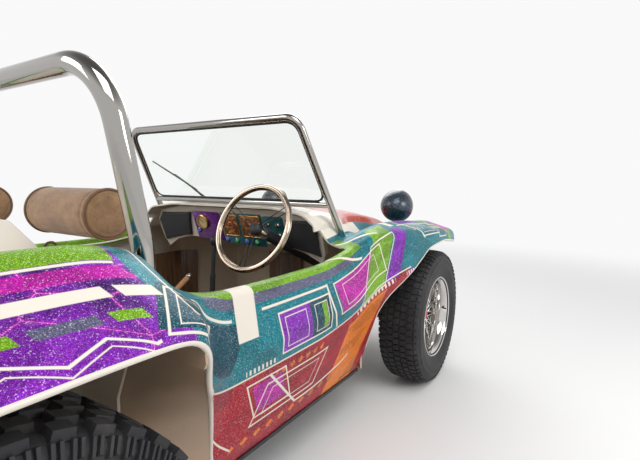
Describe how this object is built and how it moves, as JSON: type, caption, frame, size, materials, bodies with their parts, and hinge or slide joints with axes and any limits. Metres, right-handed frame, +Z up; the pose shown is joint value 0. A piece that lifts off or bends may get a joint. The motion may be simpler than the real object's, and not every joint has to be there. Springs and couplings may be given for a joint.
{
  "type": "open fibreglass beach buggy",
  "caption": "Short open fibreglass beach buggy with roll hoop, windscreen, spoked wheels, working steering and rear air-cooled engine.",
  "frame": {"origin": "on the ground, midway between the front and rear bumpers, on the centre plane", "axes": "+X forward, +Y to the car's left, +Z up"},
  "size_m": [3.3, 1.7184, 1.3154],
  "materials": {
    "painted": "metalflake clear-coated gelcoat",
    "gelcoat": "cream gelcoat",
    "chassis_black": "satin black",
    "chrome": "polished",
    "rim_chrome": "polished",
    "rubber_tyre": "matt",
    "glass_clear": "clear",
    "vinyl": "grained",
    "suede": "suede",
    "plates": "hammered",
    "cast_alloy": "as cast",
    "iron": "machined",
    "shroud_black": "gloss black",
    "lens_red": "clear red",
    "steel_dark": "bare"
  },
  "bodies": {
    "chassis": {"backbone": "chassis_black", "body_sides": "painted", "bumpers": "chrome", "carburettor": "cast_alloy", "cowl": "painted", "dampers": "steel_dark", "dash_pads": "vinyl", "dash_panel": "gelcoat", "dash_plates": "plates", "engine": "cast_alloy", "exhaust": "chrome", "fan_shroud": "shroud_black", "floor_pan": "chassis_black", "footwell": "gelcoat", "front_beam": "chassis_black", "front_wings": "painted", "gear_lever": "chassis_black", "gearbox": "cast_alloy", "handbrake": "steel_dark", "head_rolls": "suede", "headlamp_glass": "glass_clear", "headlamps": "chrome", "hood": "painted", "nose_panel": "painted", "pedals": "chassis_black", "rear_bulkhead": "gelcoat", "rear_deck": "painted", "roll_hoop": "chrome", "seats": "suede", "steering_box": "chassis_black", "steering_column": "chassis_black", "tail_lamps": "lens_red", "torsion_tube": "chassis_black", "wheel_wells": "gelcoat", "windscreen_frame": "chrome", "windscreen_glass": "glass_clear", "wiper": "chrome"},
    "steering_wheel": {"steering_wheel": "chrome"},
    "drop_arm": {"drop_arm": "steel_dark"},
    "tie_rod_left": {"tie_rod_left": "steel_dark"},
    "tie_rod_right": {"tie_rod_right": "steel_dark"},
    "knuckle_left": {"knuckle_left": "iron"},
    "knuckle_right": {"knuckle_right": "iron"},
    "wheel_front_left": {"rim_front_left": "rim_chrome", "tyre_front_left": "rubber_tyre"},
    "wheel_front_right": {"rim_front_right": "rim_chrome", "tyre_front_right": "rubber_tyre"},
    "wheel_rear_left": {"rim_rear_left": "rim_chrome", "tyre_rear_left": "rubber_tyre"},
    "wheel_rear_right": {"rim_rear_right": "rim_chrome", "tyre_rear_right": "rubber_tyre"}
  },
  "joints": [
    {"name": "steering_wheel_turn", "type": "hinge", "parent": "chassis", "child": "steering_wheel", "pos_m": [0.068, -0.316, 0.866], "axis": [-0.9136, 0, 0.4067], "range_deg": [-420, 420]},
    {"name": "drop_arm_swing", "type": "hinge", "parent": "chassis", "child": "drop_arm", "pos_m": [1.016, -0.25, 0.39], "axis": [0, 0, 1], "range_deg": [-28, 28]},
    {"name": "knuckle_left_steer", "type": "hinge", "parent": "chassis", "child": "knuckle_left", "pos_m": [1.016, 0.54, 0.345], "axis": [0, 0, 1], "range_deg": [-28, 28]},
    {"name": "tie_rod_left_eye", "type": "hinge", "parent": "knuckle_left", "child": "tie_rod_left", "pos_m": [0.876, 0.54, 0.392], "axis": [0, 0, 1], "range_deg": [-28, 28]},
    {"name": "knuckle_right_steer", "type": "hinge", "parent": "chassis", "child": "knuckle_right", "pos_m": [1.016, -0.54, 0.345], "axis": [0, 0, 1], "range_deg": [-28, 28]},
    {"name": "tie_rod_right_eye", "type": "hinge", "parent": "knuckle_right", "child": "tie_rod_right", "pos_m": [0.876, -0.54, 0.392], "axis": [0, 0, 1], "range_deg": [-28, 28]},
    {"name": "wheel_front_left_spin", "type": "hinge", "parent": "knuckle_left", "child": "wheel_front_left", "pos_m": [1.016, 0.668, 0.345], "axis": [0, 1, 0], "continuous": true},
    {"name": "wheel_front_right_spin", "type": "hinge", "parent": "knuckle_right", "child": "wheel_front_right", "pos_m": [1.016, -0.668, 0.345], "axis": [0, 1, 0], "continuous": true},
    {"name": "wheel_rear_left_spin", "type": "hinge", "parent": "chassis", "child": "wheel_rear_left", "pos_m": [-1.016, 0.713, 0.363], "axis": [0, 1, 0], "continuous": true},
    {"name": "wheel_rear_right_spin", "type": "hinge", "parent": "chassis", "child": "wheel_rear_right", "pos_m": [-1.016, -0.713, 0.363], "axis": [0, 1, 0], "continuous": true}
  ],
  "couplings": [
    {"joint": "drop_arm_swing", "follows": "steering_wheel_turn", "ratio": 0.066667},
    {"joint": "knuckle_left_steer", "follows": "steering_wheel_turn", "ratio": 0.066667},
    {"joint": "tie_rod_left_eye", "follows": "steering_wheel_turn", "ratio": -0.066667},
    {"joint": "knuckle_right_steer", "follows": "steering_wheel_turn", "ratio": 0.066667},
    {"joint": "tie_rod_right_eye", "follows": "steering_wheel_turn", "ratio": -0.066667}
  ]
}
